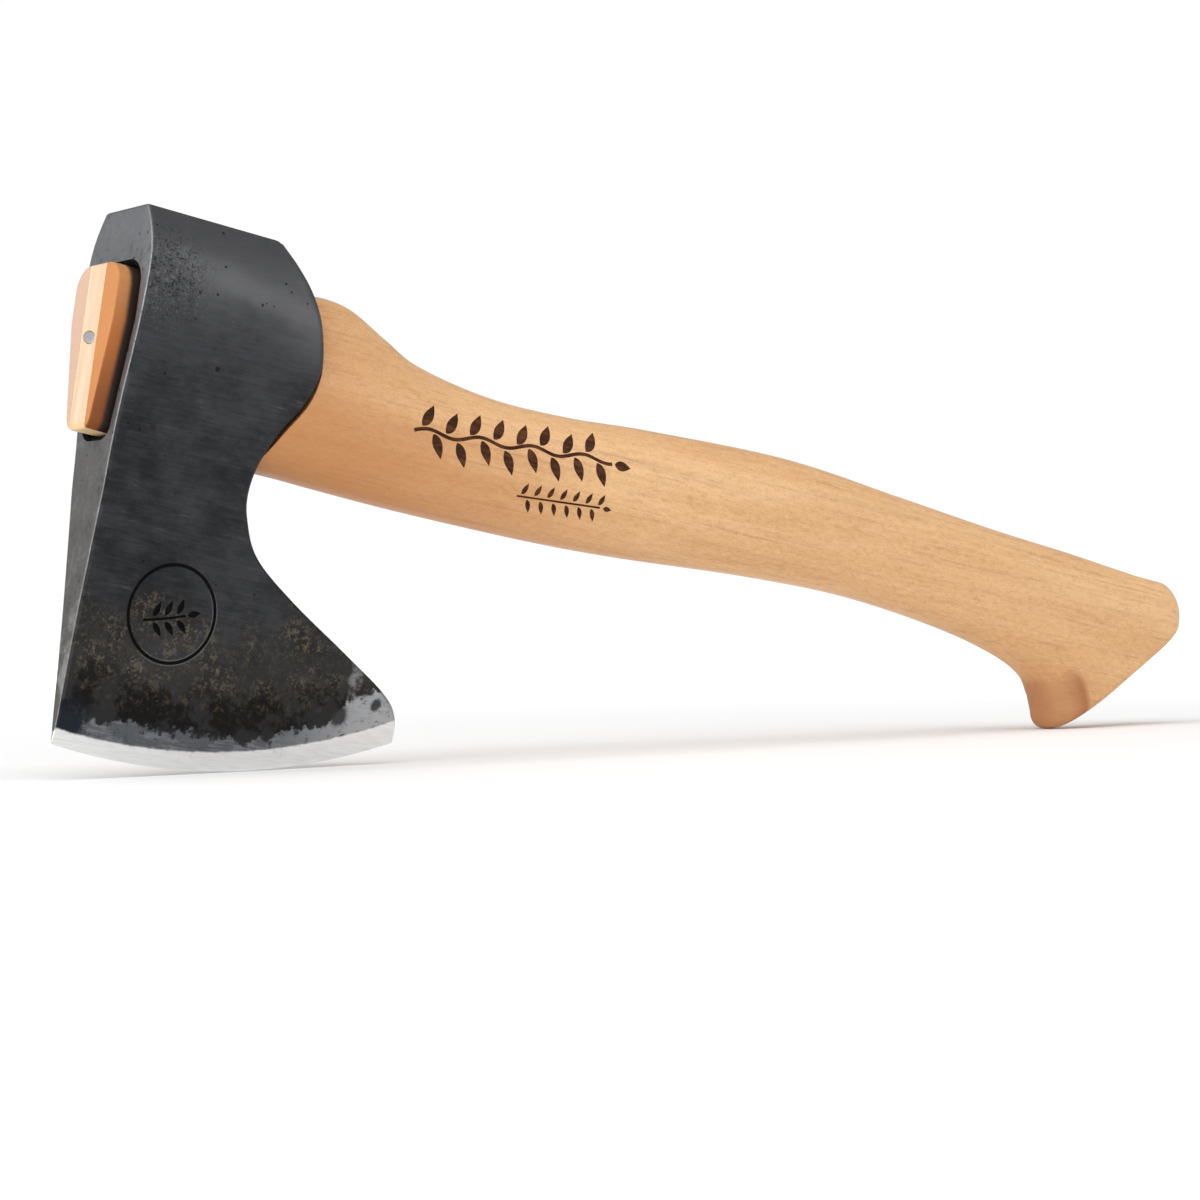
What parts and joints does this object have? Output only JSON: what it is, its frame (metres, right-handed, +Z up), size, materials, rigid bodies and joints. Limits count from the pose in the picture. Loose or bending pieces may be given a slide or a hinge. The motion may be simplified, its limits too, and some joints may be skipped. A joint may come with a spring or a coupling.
{
  "type": "carving hatchet",
  "caption": "Bearded carving hatchet: forged head with a flat poll and long curved edge, wedged on a curved beech handle with a hooked knob.",
  "frame": {"origin": "bottom centre of the bounding box, on the surface that the cutting edge and the knob touch when the hatchet stands on them", "axes": "+X runs from the head's flat front towards the handle's butt, +Z up towards the poll, +Y across the hatchet, whose plane of symmetry is Y = 0"},
  "size_m": [0.3924, 0.0314, 0.1373],
  "materials": {
    "forged_steel": "dark blue-grey forge finish with fine brushing and brown-black patina, polished bright at the bevel",
    "beech": "oiled beech, satin, with short dark flecks along the grain",
    "pale_hardwood": "pale close-grained hardwood, end grain",
    "bright_steel": "plain steel, filed flush"
  },
  "bodies": {
    "root": {"head": "forged_steel", "handle": "beech", "eye_wedge": "pale_hardwood", "cross_wedge": "bright_steel"}
  },
  "joints": []
}
